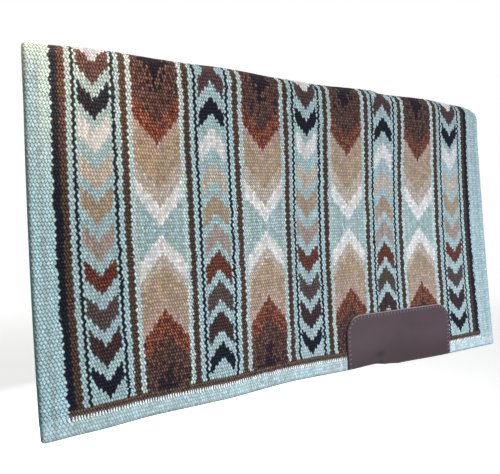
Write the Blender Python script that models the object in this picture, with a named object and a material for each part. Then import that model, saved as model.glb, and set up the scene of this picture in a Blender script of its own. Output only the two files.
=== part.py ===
"""Western saddle pad: one heavy hand-woven wool cloth, folded over a rail, with a leather wear patch
on each side.

The real cloth is a single weaving that is folded along the horse's spine. A rigid solid can't bend,
so the cloth is three solids here: the ridge that wraps the rail, and the two flaps that swing from
it. Each wear leather is one piece of hide, folded round the hem so that it grips both faces of the
cloth. Its stitches pull it into the wool, so it lies in a shallow seat, flush with the rest of the hem.

Metres, +Z up. X runs along the horse's back with the front of the pad at +X, and the horse's right
side is at -Y. The origin is on the rail's axis, at the middle of the pad's length.
"""

import math

import bmesh
import bpy
from mathutils import Vector

# The cloth as it comes off the loom, and the rail that it hangs over.
PAD_LENGTH = 0.864
CLOTH_WIDTH = 1.016
CLOTH_THICKNESS = 0.008
RAIL_DIAMETER = 0.038
RAIL_CLEARANCE = 0.001

# How the cloth lies: the ridge stands a little higher in its middle, the weaving has drawn the hem
# up by different amounts along its length, and its lower corners are slightly rounded.
RIDGE_CROWN = 0.004
HEM_RISE = 0.010
HEM_CORNER_RADIUS = 0.006

# The leather: a hide blank that is folded in half round the hem.
LEATHER_LENGTH = 0.252
LEATHER_HEIGHT = 0.099
LEATHER_THICKNESS = 0.0025
LEATHER_CORNER_RADIUS = 0.032
LEATHER_CENTRE_FROM_MIDDLE = 0.174

# Room between touching solids, how deep the stitches pull the leather into the wool, and how far a
# cutter runs past what it cuts.
SEAT_GAP = 0.0003
SEAT_DEPTH = 0.0005
CUT_OVERRUN = 0.002

# How finely round forms are cut.
RIDGE_STEPS = 16
LENGTH_STEPS = 36
LEATHER_STEPS = 8
CORNER_STEPS = 6
FOLD_STEPS = 8
ROUNDED_EDGE_STEPS = 3
EDGE_ROUND_SHARE = 0.72

# The hem's rise along the length: shares of the length from the rear end, then shares of HEM_RISE.
HEM_RISE_SHARES = (
    (0.0, -0.40),
    (0.12, 0.0),
    (0.27, 0.35),
    (0.46, 1.0),
    (0.62, 0.60),
    (0.74, 0.12),
    (1.0, 0.0),
)

# Worked out from the sizes above.
RIDGE_INNER_RADIUS = RAIL_DIAMETER / 2 + RAIL_CLEARANCE
RIDGE_MIDDLE_RADIUS = RIDGE_INNER_RADIUS + CLOTH_THICKNESS / 2
RIDGE_OUTER_RADIUS = RIDGE_INNER_RADIUS + CLOTH_THICKNESS
FLAP_DROP = CLOTH_WIDTH / 2 - math.pi / 2 * RIDGE_MIDDLE_RADIUS
EDGE_TURN = math.pi / 2 * EDGE_ROUND_SHARE
EDGE_REACH = CLOTH_THICKNESS / 2 * math.sin(EDGE_TURN)
SEAT_RADIUS = CLOTH_THICKNESS / 2 - SEAT_DEPTH
FOLD_INNER_RADIUS = SEAT_RADIUS + SEAT_GAP
FOLD_OUTER_RADIUS = FOLD_INNER_RADIUS + LEATHER_THICKNESS
LEATHER_REAR_END = LEATHER_CENTRE_FROM_MIDDLE - LEATHER_LENGTH / 2
LEATHER_FRONT_END = LEATHER_CENTRE_FROM_MIDDLE + LEATHER_LENGTH / 2

SIDES = {"right": -1, "left": 1}


def clear_scene():
    for thing in list(bpy.data.objects):
        bpy.data.objects.remove(thing, do_unlink=True)


def material(name, colour, roughness):
    """A plain finish: the colour is linear red, green and blue."""
    finish = bpy.data.materials.new(name)
    finish.use_nodes = True
    shader = finish.node_tree.nodes["Principled BSDF"]
    shader.inputs["Base Color"].default_value = (*colour, 1)
    shader.inputs["Roughness"].default_value = roughness
    shader.inputs["Metallic"].default_value = 0
    return finish


def smooth_step(share):
    return share * share * (3 - 2 * share)


def hem_rise(x):
    """How far the hem is drawn up at x, eased from one place in the table to the next."""
    along = min(max(x / PAD_LENGTH + 0.5, 0), 1)
    for (start, low), (end, high) in zip(HEM_RISE_SHARES, HEM_RISE_SHARES[1:]):
        if along <= end:
            return HEM_RISE * (low + (high - low) * smooth_step((along - start) / (end - start)))
    return HEM_RISE * HEM_RISE_SHARES[-1][1]


def ridge_crown(x):
    """How much higher than its ends the ridge stands at x."""
    return RIDGE_CROWN * (1 - (2 * x / PAD_LENGTH) ** 2)


def corner_rise(x):
    """How far the rounded lower corner lifts the hem at x."""
    inside = PAD_LENGTH / 2 - abs(x)
    if inside >= HEM_CORNER_RADIUS:
        return 0
    across = HEM_CORNER_RADIUS - inside
    return HEM_CORNER_RADIUS - math.sqrt(HEM_CORNER_RADIUS**2 - across**2)


def rounded_edge():
    """(how far in from the edge, half of the thickness there) down a rounded edge of the cloth."""
    half = CLOTH_THICKNESS / 2
    angles = [EDGE_TURN * i / ROUNDED_EDGE_STEPS for i in range(ROUNDED_EDGE_STEPS + 1)]
    return [(EDGE_REACH - half * math.sin(a), half * math.cos(a)) for a in angles]


def leather_stations(grown=0):
    """(x, how far below the middle of its top the leather's edge is) from its rear end to its front
    end, for an outline that is grown by this much all round."""
    radius = LEATHER_CORNER_RADIUS + grown
    angles = [math.pi / 2 * i / CORNER_STEPS for i in range(CORNER_STEPS + 1)]
    corner = [(radius * (1 - math.cos(a)), radius * (1 - math.sin(a)) - grown) for a in angles]
    rear = [(LEATHER_REAR_END - grown + inward, down) for inward, down in corner]
    front = [(LEATHER_FRONT_END + grown - inward, down) for inward, down in reversed(corner)]
    start, end = rear[-1][0], front[0][0]
    steps = range(1, LEATHER_STEPS)
    level = [(start + (end - start) * i / LEATHER_STEPS, -grown) for i in steps]
    return rear + level + front


def cloth_stations():
    """(x, half of the cloth's thickness there) along the pad, with both ends rounded."""
    half = CLOTH_THICKNESS / 2
    edge = rounded_edge()
    rear = [(inward - PAD_LENGTH / 2, thin) for inward, thin in reversed(edge)]
    front = [(PAD_LENGTH / 2 - inward, thin) for inward, thin in edge]
    start, end = rear[-1][0], front[0][0]
    level = [
        (start + (end - start) * i / LENGTH_STEPS, half) for i in range(1, LENGTH_STEPS)
    ]
    return rear + level + front


def loft(name, sections, finish):
    """A solid from sections along the pad. A section is two matching lists of points, the two faces
    of a sheet, so a strip of four-sided faces between them closes each end."""
    mesh = bmesh.new()
    rings = []
    for one_face, other_face in sections:
        rings.append([mesh.verts.new(point) for point in one_face + other_face[::-1]])
    around = len(rings[0])
    for ring, following in zip(rings, rings[1:]):
        for i in range(around):
            j = (i + 1) % around
            mesh.faces.new((ring[i], ring[j], following[j], following[i]))
    for ring in (rings[0], rings[-1]):
        for i in range(around // 2 - 1):
            mesh.faces.new((ring[i], ring[i + 1], ring[-2 - i], ring[-1 - i]))
    bmesh.ops.recalc_face_normals(mesh, faces=mesh.faces)
    data = bpy.data.meshes.new(name)
    mesh.to_mesh(data)
    mesh.free()
    data.shade_smooth()
    data.set_sharp_from_angle(angle=math.radians(50))
    data.materials.append(finish)
    solid = bpy.data.objects.new(name, data)
    bpy.context.collection.objects.link(solid)
    return solid


def ridge_section(x, half):
    """The arch over the rail at x: both legs stand on the fold lines, and the crown lifts the arch."""
    faces = []
    for radius in (RIDGE_MIDDLE_RADIUS + half, RIDGE_MIDDLE_RADIUS - half):
        angles = [math.pi * i / RIDGE_STEPS for i in range(RIDGE_STEPS + 1)]
        lift = SEAT_GAP + ridge_crown(x)
        arch = [
            Vector((x, -radius * math.cos(a), lift + radius * math.sin(a))) for a in angles
        ]
        foot = Vector((0, 0, ridge_crown(x) + SEAT_GAP / 2))
        faces.append([arch[0] - foot, *arch, arch[-1] - foot])
    return faces


def flap_section(x, half, side):
    """One flap at x, from the fold line down to its rounded hem."""
    middle = side * RIDGE_MIDDLE_RADIUS
    hem = -FLAP_DROP + hem_rise(x) + corner_rise(x)
    thin = half / (CLOTH_THICKNESS / 2)
    downwards = [(-SEAT_GAP / 2, half)]
    downwards += [(hem + inward, width * thin) for inward, width in rounded_edge()]
    outer = [Vector((x, middle + side * width, z)) for z, width in downwards]
    inner = [Vector((x, middle - side * width, z)) for z, width in downwards]
    return [outer, inner]


def folded_section(x, down, side, radii):
    """A sheet folded round the hem at x: up the outer face, round the hem and up the inner face."""
    faces = []
    fold = -FLAP_DROP + hem_rise(x) + FOLD_OUTER_RADIUS
    top = -FLAP_DROP + hem_rise(x) + LEATHER_HEIGHT - down
    middle = side * RIDGE_MIDDLE_RADIUS
    for away in radii:
        angles = [math.pi * i / FOLD_STEPS for i in range(FOLD_STEPS + 1)]
        round_hem = [
            Vector((x, middle + side * away * math.cos(a), fold - away * math.sin(a)))
            for a in angles
        ]
        outer_top = Vector((x, middle + side * away, top))
        inner_top = Vector((x, middle - side * away, top))
        faces.append([outer_top, *round_hem, inner_top])
    return faces


def hinged(solid, side):
    """Moves the solid's origin onto its fold line, where the ridge's outer face ends."""
    fold_line = Vector((0, side * RIDGE_OUTER_RADIUS, 0))
    for vertex in solid.data.vertices:
        vertex.co -= fold_line
    solid.location = fold_line
    return solid


def carried_by(flap, piece):
    """Parents a piece to its flap without moving it."""
    piece.parent = flap
    piece.matrix_parent_inverse = flap.matrix_basis.inverted()


def build_ridge(wool):
    return loft("spine_ridge", [ridge_section(x, half) for x, half in cloth_stations()], wool)


def build_flap(name, side, wool):
    """The flap, with the seat of its leather cut into it: the leather's form, grown by the gap."""
    sections = [flap_section(x, half, side) for x, half in cloth_stations()]
    flap = hinged(loft(f"{name}_flap", sections, wool), side)
    radii = (FOLD_OUTER_RADIUS + CUT_OVERRUN, SEAT_RADIUS)
    sections = [folded_section(x, down, side, radii) for x, down in leather_stations(SEAT_GAP)]
    cutter = hinged(loft(f"{name}_seat_cutter", sections, wool), side)
    cutter.hide_render = True
    cutter.display_type = "WIRE"
    seat = flap.modifiers.new("leather seat", "BOOLEAN")
    seat.operation = "DIFFERENCE"
    seat.solver = "EXACT"
    seat.object = cutter
    carried_by(flap, cutter)
    return flap


def build_wear_leather(name, side, hide):
    radii = (FOLD_OUTER_RADIUS, FOLD_INNER_RADIUS)
    sections = [folded_section(x, down, side, radii) for x, down in leather_stations()]
    return hinged(loft(f"{name}_wear_leather", sections, hide), side)


def main():
    clear_scene()
    build_ridge(material("handwoven_wool_brown", (0.10, 0.05, 0.035), 0.95))
    for name, side in SIDES.items():
        wool = material(f"handwoven_wool_turquoise_{name}", (0.32, 0.52, 0.56), 0.95)
        hide = material(f"oiled_bridle_leather_{name}", (0.102, 0.078, 0.08), 0.55)
        flap = build_flap(name, side, wool)
        leather = build_wear_leather(name, side, hide)
        carried_by(flap, leather)


main()
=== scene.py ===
# %% [markdown]
# # A hand-woven western saddle pad
#
# The object is one thick wool cloth, folded over a rail that isn't part of it, with a
# wear leather folded round the hem near the front of each side. The packed model is
# the frame: it gives the bodies that move, and the leathers and stitches made here ride
# on its flaps. This lesson sets the camera, makes the cloth, the leathers and their
# stitches, and then colours, lights and joins them.

import math

import bpy
import numpy as np
from mathutils import Matrix, Vector


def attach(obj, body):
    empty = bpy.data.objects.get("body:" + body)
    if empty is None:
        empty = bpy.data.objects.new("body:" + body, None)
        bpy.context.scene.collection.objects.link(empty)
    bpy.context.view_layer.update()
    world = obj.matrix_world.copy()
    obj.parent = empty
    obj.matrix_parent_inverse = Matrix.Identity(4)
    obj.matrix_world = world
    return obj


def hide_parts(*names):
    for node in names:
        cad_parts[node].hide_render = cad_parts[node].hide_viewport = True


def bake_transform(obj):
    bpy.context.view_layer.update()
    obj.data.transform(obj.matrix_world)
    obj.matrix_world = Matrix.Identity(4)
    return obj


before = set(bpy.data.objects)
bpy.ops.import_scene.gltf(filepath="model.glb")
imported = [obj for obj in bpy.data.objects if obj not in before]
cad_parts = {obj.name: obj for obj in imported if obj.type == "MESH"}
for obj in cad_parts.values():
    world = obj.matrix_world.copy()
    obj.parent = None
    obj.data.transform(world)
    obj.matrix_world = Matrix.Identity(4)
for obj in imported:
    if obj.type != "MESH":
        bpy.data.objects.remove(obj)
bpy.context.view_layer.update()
print("nodes:", ", ".join(sorted(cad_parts)))

# %% [markdown]
# ## The camera
#
# The camera's place and turn were worked out from the four corners of the visible flap.
# It stands near the rear end, so that the pad runs away from it to the right. The small
# shift sets the pad in the frame as the photograph does.

# %% Camera
CAMERA_PLACE = Vector((-0.4456, -0.6239, -0.2390))
AZIMUTH = math.radians(-25.961)
ELEVATION = math.radians(0.363)
ROLL = math.radians(-2.446)
SENSOR_WIDTH = 36
LENS = 31.78
SHIFT = (0.030, 0.0188)
FLAP_MIDDLE = Vector((0, -0.024, -0.2))

towards_camera = Vector((
    math.sin(AZIMUTH) * math.cos(ELEVATION),
    -math.cos(AZIMUTH) * math.cos(ELEVATION),
    math.sin(ELEVATION),
))
level_right = Vector((0, 0, 1)).cross(towards_camera).normalized()
level_up = towards_camera.cross(level_right)
picture_right = math.cos(ROLL) * level_right + math.sin(ROLL) * level_up
picture_up = math.cos(ROLL) * level_up - math.sin(ROLL) * level_right

camera_data = bpy.data.cameras.new("camera")
camera_data.sensor_width = SENSOR_WIDTH
camera_data.lens = LENS
camera_data.shift_x, camera_data.shift_y = SHIFT
camera = bpy.data.objects.new("camera", camera_data)
camera.matrix_world = Matrix.Translation(CAMERA_PLACE) @ Matrix((
    picture_right, picture_up, towards_camera
)).transposed().to_4x4()
bpy.context.collection.objects.link(camera)
bpy.context.scene.camera = camera
print("camera stands", round((CAMERA_PLACE - FLAP_MIDDLE).length, 2), "m from the flap's middle")

# %% [markdown]
# ## The shape of the hanging cloth
#
# The cloth could be draped by a cloth simulation, but it is as stiff as felt: it keeps
# the arch that its own thickness gives it over the rail, and hangs nearly flat below.
# A rule gives that shape more truly: an arc, then a straight drop. Small tables of
# places add what the photograph shows of this one cloth: a hem that
# rises in the middle, an uneven crest, and a front half that is stretched a little.

# %% Sizes of the cloth and its yarns, in millimetres
MM = 0.001
CLOTH_LENGTH = 864
HALF_WIDTH = 508
HALF_THICKNESS = 4
ARCH_RADIUS = 24
ARCH_QUARTER = ARCH_RADIUS * math.pi / 2
WEAVE_LENGTH = 840.6
FLOATS = 225
RIBS = 105
FLOAT_PITCH = WEAVE_LENGTH / FLOATS
RIB_PITCH = HALF_WIDTH / RIBS
print(f"a rib every {RIB_PITCH:.3f} mm, a float every {FLOAT_PITCH:.3f} mm")

# %% Where the yarns lie
# Distance along the weave, and where it lies from the rear end at 80, 260 and 465 mm below the crest.
YARN_PLACES = (
    (0, -1.8, -3.3, -1.3),
    (32.5, 33, 31.5, 38),
    (80.6, 80, 79.5, 85),
    (164.6, 163, 164, 165.5),
    (248.6, 247, 249, 249.5),
    (332.6, 331.5, 333.5, 331.5),
    (416.6, 415.6, 410, 411.5),
    (500.6, 498.5, 495.5, 495),
    (584.6, 583.5, 577, 582),
    (668.6, 669.5, 663.5, 670),
    (752.6, 757, 757, 767),
    (800.7, 803, 803, 817),
    (840.6, 844.5, 852, 865),
)
TABLE_HEIGHTS = (80, 260, 465)
# Distance from the pad's middle, and how far the crest stands above the arch there.
CREST_LIFT = (
    (-430, 0), (-340, 5), (-240, 3.5), (-150, 5), (-50, 1.5), (20, 0.5), (140, 4), (160, 0),
    (280, 2.5), (380, -2), (400, -5), (420, -13), (432, -22),
)
LIFT_FADES_BY = 100
# Distance from the pad's middle, and how far the hem stands above a level line there.
HEM_RISE = (
    (-430, -6.5), (-380, -4.5), (-280, 0), (-190, 0), (-50, 6), (50, 5.5), (110, 7), (140, 3),
    (170, 0), (280, -2), (430, -1),
)
# The leather is dented once near its fold: where, how far below the crest, how deep and how wide.
DENT_PLACE = 124
DENT_HEIGHT = 484
DENT_DEPTH = 2.2
DENT_SPREAD = (15, 11)
# Waves of the flap: height, length of one radian and start.
WAVES = ((1.4, 118, -1.2), (0.7, 61, 0.4))
WAVES_GROW_OVER = 200
BOW = 0.8
BOW_GROWS_OVER = 80
CORNER_RADIUS = 5
CORNER_FADES_IN = 12


def ease(share):
    """A soft start and stop between 0 and 1."""
    share = np.clip(share, 0, 1)
    return share * share * (3 - 2 * share)


def eased_table(table, at):
    """A small table read at any place, with a soft turn at each of its points."""
    places, values = np.array(table, dtype=float).T
    before = np.clip(np.searchsorted(places, at) - 1, 0, len(places) - 2)
    share = ease((at - places[before]) / (places[before + 1] - places[before]))
    return values[before] + (values[before + 1] - values[before]) * share


def along_pad(yarn, height):
    """Distance from the pad's middle, towards the front, of a yarn at a height below the crest."""
    places = np.array(YARN_PLACES, dtype=float).T
    top, middle, low = (np.interp(yarn, places[0], row) for row in places[1:])
    height = np.clip(height, TABLE_HEIGHTS[0], HALF_WIDTH)
    from_top = height - TABLE_HEIGHTS[0]
    upper_slope = (middle - top) / (TABLE_HEIGHTS[1] - TABLE_HEIGHTS[0])
    lower_slope = (low - middle) / (TABLE_HEIGHTS[2] - TABLE_HEIGHTS[1])
    bend = (lower_slope - upper_slope) / (TABLE_HEIGHTS[2] - TABLE_HEIGHTS[0])
    return top + upper_slope * from_top + bend * from_top * (height - TABLE_HEIGHTS[1]) - CLOTH_LENGTH / 2


def below_crest(x, height):
    """How far below the crest a yarn's height comes to lie, once the hem has drawn up."""
    return height * (1 - eased_table(HEM_RISE, x) / HALF_WIDTH)


def sway(x, down):
    """How far the flap stands outwards of a plane. A heavy cloth has long and shallow waves."""
    wave = sum(size * np.sin(x / run + start) for size, run, start in WAVES)
    bow = -BOW * np.sin(np.pi * np.clip(down / HALF_WIDTH, 0, 1))
    wide, high = DENT_SPREAD
    dent = -DENT_DEPTH * np.exp(-((x - DENT_PLACE) / wide) ** 2 - ((down - DENT_HEIGHT) / high) ** 2)
    grown_wave = ease((down - ARCH_QUARTER) / WAVES_GROW_OVER) * wave
    return grown_wave + bow * ease((down - ARCH_QUARTER / 2) / BOW_GROWS_OVER) + dent


def on_cloth(x, down, outwards, side):
    """A point beside the cloth's middle layer, in metres. Side is -1 for the right flap, 1 for the left."""
    angle = np.minimum(down, ARCH_QUARTER) / ARCH_RADIUS
    straight = np.maximum(down - ARCH_QUARTER, 0)
    lift = eased_table(CREST_LIFT, x) * (1 - ease(down / LIFT_FADES_BY))
    y = (ARCH_RADIUS + outwards) * np.sin(angle) + sway(x, down) * (down > 0)
    z = (ARCH_RADIUS + outwards) * np.cos(angle) - straight + lift
    return np.stack([x + 0 * down, side * y, z], axis=-1) * MM


def facing(x, down, side):
    """The direction out of the cloth's saddle face."""
    angle = np.minimum(down, ARCH_QUARTER) / ARCH_RADIUS + 0 * x
    return np.stack([0 * angle, side * np.sin(angle), np.cos(angle)], axis=-1)


hem_places = np.linspace(-CLOTH_LENGTH / 2, CLOTH_LENGTH / 2, 9)
print("hem stands", np.round(eased_table(HEM_RISE, hem_places), 1), "mm above a level line")

# %% [markdown]
# ## One way to make a thick sheet
#
# The cloth and the leathers are both sheets with a rounded edge. A Solidify modifier
# would give them square edges, so the sheet is made as two grids of points, one for
# each face, that share the points of their rim. The half thickness grows from nothing
# at the rim along a quarter of a circle, so that the edge comes out as a half round.

# %% Thick sheets
def half_round(distance, half_thickness):
    """Half the sheet's thickness at a distance from its edge."""
    inwards = 1 - np.clip(distance / half_thickness, 0, 1)
    return half_thickness * np.sqrt(1 - inwards * inwards)


def sheet_faces(columns, rows, rim):
    """Faces of two grids of points that share the points of the rim, and the number of each point."""
    outer = np.arange(columns * rows).reshape(columns, rows)
    inner = outer + columns * rows
    inner[rim] = outer[rim]
    corners = np.stack([outer[:-1, :-1], outer[1:, :-1], outer[1:, 1:], outer[:-1, 1:]], axis=-1)
    back = np.stack([inner[:-1, :-1], inner[:-1, 1:], inner[1:, 1:], inner[1:, :-1]], axis=-1)
    return np.concatenate([corners.reshape(-1, 4), back.reshape(-1, 4)]), outer, inner


def real_corners(faces):
    """False for a corner that repeats the one before it, which is how four corners make a triangle."""
    return faces != np.roll(faces, 1, axis=1)


def add_mesh(name, points, faces, values=None):
    """A mesh object at the origin, with smooth faces. Points that no face uses are left out."""
    used, renamed = np.unique(faces, return_inverse=True)
    renamed = renamed.reshape(faces.shape)
    corners = [face[kept].tolist() for face, kept in zip(renamed, real_corners(faces))]
    mesh = bpy.data.meshes.new(name)
    mesh.from_pydata(points[used].tolist(), [], corners)
    for title, (kind, numbers) in (values or {}).items():
        attribute = mesh.attributes.new(title, kind, "POINT")
        attribute.data.foreach_set("vector" if kind == "FLOAT_VECTOR" else "value", numbers[used].ravel())
    mesh.polygons.foreach_set("use_smooth", [True] * len(mesh.polygons))
    mesh.update()
    piece = bpy.data.objects.new(name, mesh)
    bpy.context.collection.objects.link(piece)
    return piece


print(f"1 mm from its edge, the cloth is {2 * half_round(1, HALF_THICKNESS):.1f} mm thick")

# %% [markdown]
# ## The cloth's two halves
#
# The real cloth is one piece. Here it is two, joined along the crest, because a piece
# can bend between two bodies only, and the cloth bends between three: the ridge and a
# flap on each side. Each half has one column of points for each float of the weft and
# two rows for each rib, a crest and a groove.

# %% Points of half a cloth
RIM_STEPS = (0, 0.3, 1.1, 2.4)
LEATHER_REAR = 481
LEATHER_FRONT = 732
LEATHER_TOP = 409
LEATHER_HALF_THICKNESS = 1.25
FOLD_INSIDE = 3.8
FOLD_MIDDLE = FOLD_INSIDE + LEATHER_HALF_THICKNESS
FOLD_OUTSIDE = FOLD_MIDDLE + LEATHER_HALF_THICKNESS
# How far inside its edge a leather starts to press, over what run, and how much of the thickness it takes.
PRESS_INSET = 2
PRESS_RUN = 4
PRESSED_SHARE = 1 / 8
FOLD_ROOM = 0.3
SAME_PLACE = 0.01
# The map for baking: its margin, how high each face of the cloth is on it, and where the strip lies.
MAP_MARGIN = 0.01
MAP_HEIGHT = 0.47
MAP_STRIP = (0.49, 0.51)


def under_leather(x, height):
    """1 where a leather presses on the cloth and 0 elsewhere, with a soft change between."""
    from_rear = x + CLOTH_LENGTH / 2
    rear = ease((from_rear - LEATHER_REAR - PRESS_INSET) / PRESS_RUN)
    front = ease((LEATHER_FRONT - PRESS_INSET - from_rear) / PRESS_RUN)
    return rear * front * ease((height - LEATHER_TOP - PRESS_INSET) / PRESS_RUN)


def crease_grooves(piece):
    """Marks the grooves between ribs as sharp, so that each rib shades as a round cord of its own."""
    mesh = piece.data
    weave = np.empty(len(mesh.vertices) * 3)
    mesh.attributes["weave"].data.foreach_get("vector", weave)
    height = weave[1::3]
    ends = np.empty(len(mesh.edges) * 2, dtype=int)
    mesh.edges.foreach_get("vertices", ends)
    first, second = height[ends[::2]], height[ends[1::2]]
    in_groove = np.abs(first / RIB_PITCH - np.round(first / RIB_PITCH)) < SAME_PLACE
    sharp = (np.abs(first - second) < SAME_PLACE) & in_groove & (first < HALF_WIDTH - 1)
    mesh.attributes.new("sharp_edge", "BOOLEAN", "EDGE").data.foreach_set("value", sharp)


def lay_out_for_baking(piece, faces, across, up, face_counts):
    """A map for baking: the saddle face above, the horse's face below, the strip between."""
    lower, upper = MAP_STRIP
    place = np.stack([
        MAP_MARGIN + (1 - 2 * MAP_MARGIN) * across[faces], MAP_MARGIN + MAP_HEIGHT * up[faces],
    ], axis=-1)
    saddle, horse = face_counts
    place[:saddle, :, 1] += upper
    place[saddle + horse:, :, 1] = np.where(faces[saddle + horse:] < len(across) // 2, upper, lower)
    piece.data.uv_layers.new(name="OFBake").data.foreach_set("uv", place[real_corners(faces)].ravel())


def half_cloth(name, side):
    """One half of the cloth, closed along the crest, with its weave coordinates kept on its points."""
    ends = np.array(RIM_STEPS)
    yarns = np.concatenate([ends, np.arange(1, FLOATS) * FLOAT_PITCH, WEAVE_LENGTH - ends[::-1]])
    heights = np.concatenate([np.arange(RIBS * 2) * RIB_PITCH / 2, HALF_WIDTH - ends[2::-1]])
    yarn, height = np.meshgrid(yarns, heights, indexing="ij")
    x = along_pad(yarn, height)
    from_end = np.minimum(yarn, WEAVE_LENGTH - yarn)
    from_hem = HALF_WIDTH - height
    round_off = CORNER_RADIUS - half_round(from_end, CORNER_RADIUS)
    pressed = under_leather(x, height)
    hem_side = ease((height - HALF_WIDTH + CORNER_FADES_IN) / CORNER_FADES_IN)
    drawn_in = round_off + (FOLD_OUTSIDE - FOLD_INSIDE + FOLD_ROOM) * pressed
    down = below_crest(x, height) - hem_side * drawn_in
    half = half_round(np.minimum(from_end, from_hem), HALF_THICKNESS) * (1 - pressed * PRESSED_SHARE)
    rim = (from_end == 0) | (from_hem == 0)
    faces, outer, inner = sheet_faces(*yarn.shape, rim)
    cap = np.stack([outer[:-1, 0], inner[:-1, 0], inner[1:, 0], outer[1:, 0]], axis=-1)
    face_counts = (len(faces) // 2, len(faces) // 2)
    faces = np.concatenate([faces, cap])
    if side < 0:
        faces = faces[:, ::-1]
    saddle = on_cloth(x, down, half, side).reshape(-1, 3)
    horse = on_cloth(x, down, -half, side).reshape(-1, 3)
    out = facing(x, down, side).reshape(-1, 3)
    free = (half / HALF_THICKNESS).ravel() * (1 - pressed.ravel())
    weave = np.stack([yarn, height, np.full_like(yarn, 1)], axis=-1).reshape(-1, 3)
    values = {
        "weave": ("FLOAT_VECTOR", np.concatenate([weave, weave * (1, 1, -1)])),
        "outwards": ("FLOAT_VECTOR", np.concatenate([out, -out])),
        "relief_share": ("FLOAT", np.concatenate([free, free])),
    }
    piece = add_mesh(name, np.concatenate([saddle, horse]), faces, values)
    crease_grooves(piece)
    across = np.tile((yarn / WEAVE_LENGTH).ravel(), 2)
    up = np.tile((1 - height / HALF_WIDTH).ravel(), 2)
    lay_out_for_baking(piece, faces, across, up, face_counts)
    return piece


flat_cloth = {"right": half_cloth("right_cloth_smooth", -1), "left": half_cloth("left_cloth_smooth", 1)}
for half_name, piece in flat_cloth.items():
    print(half_name, "half:", sum(len(face.vertices) - 2 for face in piece.data.polygons), "triangles")

# %% [markdown]
# ## Ribs and floats
#
# In this weave the weft hides the warp: each hidden warp makes a rib that runs from
# end to end of the pad. The ribs could be a bump in the material, but the light from
# the side and the outline at the edges show that they are real, so a Geometry Nodes
# tree lifts the rows of points. Its inputs are the sizes of the relief.

# %% A way to add nodes
def add_node(tree, kind, inputs=None, stops=(), **settings):
    """Adds one node. A socket takes a plain value, an output, or a node for the output that it uses."""
    node = tree.nodes.new(kind)
    for name, setting in settings.items():
        setattr(node, name, setting)
    for socket, value in (inputs or {}).items():
        if isinstance(value, bpy.types.Node):
            value = next(output for output in value.outputs if output.enabled)
        if isinstance(value, bpy.types.NodeSocket):
            tree.links.new(value, node.inputs[socket])
        else:
            node.inputs[socket].default_value = value
    for number, (place, colour) in enumerate(stops):
        elements = node.color_ramp.elements
        if number == 0:
            elements.remove(elements[1])
            node.color_ramp.interpolation = "CONSTANT"
        element = elements.new(place) if number else elements[0]
        element.position, element.color = place, colour
    return node


MATHS = "ShaderNodeMath"
VECTORS = "ShaderNodeVectorMath"
MIX = "ShaderNodeMix"
RAMP = "ShaderNodeValToRGB"
RANGE = "ShaderNodeMapRange"
print("every tree below is built by add_node.", add_node.__doc__)


# %% The tree that raises the ribs
LUMP_SCALE = 0.045


def raised_ribs():
    """Points move outwards by the rib that they lie on and a slow unevenness."""
    tree = bpy.data.node_groups.new("raised ribs", "GeometryNodeTree")
    for title, kind in (("Cloth", "NodeSocketGeometry"), ("Rib height", "NodeSocketFloat"),
                        ("Unevenness", "NodeSocketFloat"), ("Wool", "NodeSocketMaterial")):
        tree.interface.new_socket(title, in_out="INPUT", socket_type=kind)
    tree.interface.new_socket("Woven cloth", in_out="OUTPUT", socket_type="NodeSocketGeometry")
    asked = tree.nodes.new("NodeGroupInput").outputs
    kept = "GeometryNodeInputNamedAttribute"
    weave = add_node(tree, kept, {"Name": "weave"}, data_type="FLOAT_VECTOR")
    outwards = add_node(tree, kept, {"Name": "outwards"}, data_type="FLOAT_VECTOR")
    share = add_node(tree, kept, {"Name": "relief_share"}, data_type="FLOAT")
    height = add_node(tree, "ShaderNodeSeparateXYZ", {0: weave}).outputs["Y"]
    turn = add_node(tree, MATHS, {0: height, 1: math.tau / RIB_PITCH, 2: math.pi}, operation="MULTIPLY_ADD")
    wave = add_node(tree, MATHS, {0: turn}, operation="COSINE")
    rib = add_node(tree, MATHS, {0: wave, 1: asked["Rib height"]}, operation="MULTIPLY")
    lumps = add_node(tree, "ShaderNodeTexNoise", {"Vector": weave, "Scale": LUMP_SCALE, "Detail": 1.0})
    centred = add_node(tree, MATHS, {0: lumps.outputs[0], 1: 0.5}, operation="SUBTRACT")
    lifted = add_node(tree, MATHS, {0: centred, 1: asked["Unevenness"], 2: rib}, operation="MULTIPLY_ADD")
    eased = add_node(tree, MATHS, {0: lifted, 1: share}, operation="MULTIPLY")
    step = add_node(tree, VECTORS, {0: outwards, "Scale": eased}, operation="SCALE")
    moved = add_node(tree, "GeometryNodeSetPosition", {"Geometry": asked["Cloth"], "Offset": step})
    real = add_node(tree, "GeometryNodeRealizeInstances", {"Geometry": moved})
    dressed = add_node(tree, "GeometryNodeSetMaterial", {"Geometry": real, "Material": asked["Wool"]})
    add_node(tree, "NodeGroupOutput", {0: dressed})
    return tree


def made_by_tree(name, base, tree, sizes):
    """The plain mesh that a tree makes of a base object, which is then removed."""
    modifier = base.modifiers.new(tree.name, "NODES")
    modifier.node_group = tree
    for socket in tree.interface.items_tree:
        if socket.in_out == "INPUT" and socket.name in sizes:
            modifier[socket.identifier] = sizes[socket.name]
    shape = base.evaluated_get(bpy.context.evaluated_depsgraph_get())
    mesh = bpy.data.meshes.new_from_object(shape)
    mesh.name = name
    bpy.data.objects.remove(base)
    piece = bpy.data.objects.new(name, mesh)
    bpy.context.collection.objects.link(piece)
    return piece


wool = bpy.data.materials.new("weft-faced wool tapestry")
rib_tree = raised_ribs()
relief = {"Rib height": 0.35 * MM, "Unevenness": 1.2 * MM, "Wool": wool}
cloth = {half_name: made_by_tree(half_name + "_cloth", base, rib_tree, relief)
         for half_name, base in flat_cloth.items()}
print("ribs stand", relief["Rib height"] * 2 / MM, "mm from groove to crest")

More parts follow.
